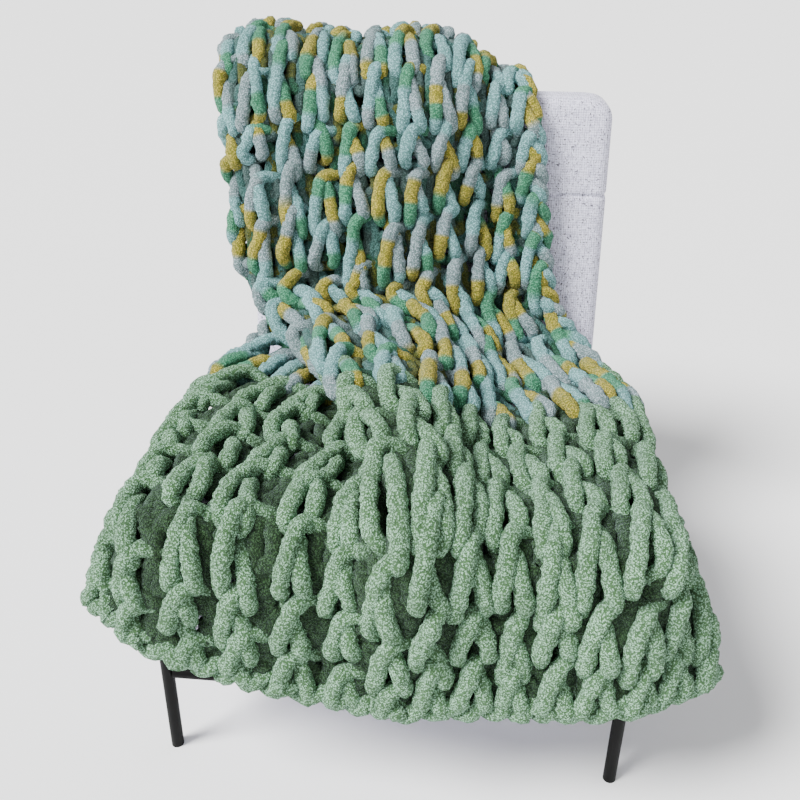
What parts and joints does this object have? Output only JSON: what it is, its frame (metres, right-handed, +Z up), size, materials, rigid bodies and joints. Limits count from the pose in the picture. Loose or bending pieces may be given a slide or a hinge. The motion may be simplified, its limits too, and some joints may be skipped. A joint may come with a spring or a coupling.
{
  "type": "crochet throw blanket on an armless chair",
  "caption": "Chunky open-loop crochet throw draped over the back and seat of an armless upholstered chair, folded under on one side and hanging over the front edge.",
  "frame": {"origin": "centre of the bounding box at the floor, between the chair's legs", "axes": "+Z up, +Y from the front of the seat to the back rest, +X to the right seen from the front"},
  "size_m": [0.8461, 0.963, 0.9289],
  "materials": {
    "yarn": "matt chenille pile",
    "tweed": "matt woven tweed",
    "tube": "satin black"
  },
  "bodies": {
    "root": {"blanket": "yarn", "seat": "tweed", "back": "tweed", "leg_front_left": "tube", "leg_front_right": "tube", "leg_rear_left": "tube", "leg_rear_right": "tube", "rail_front": "tube", "rail_rear": "tube", "rail_left": "tube", "rail_right": "tube"}
  },
  "joints": []
}
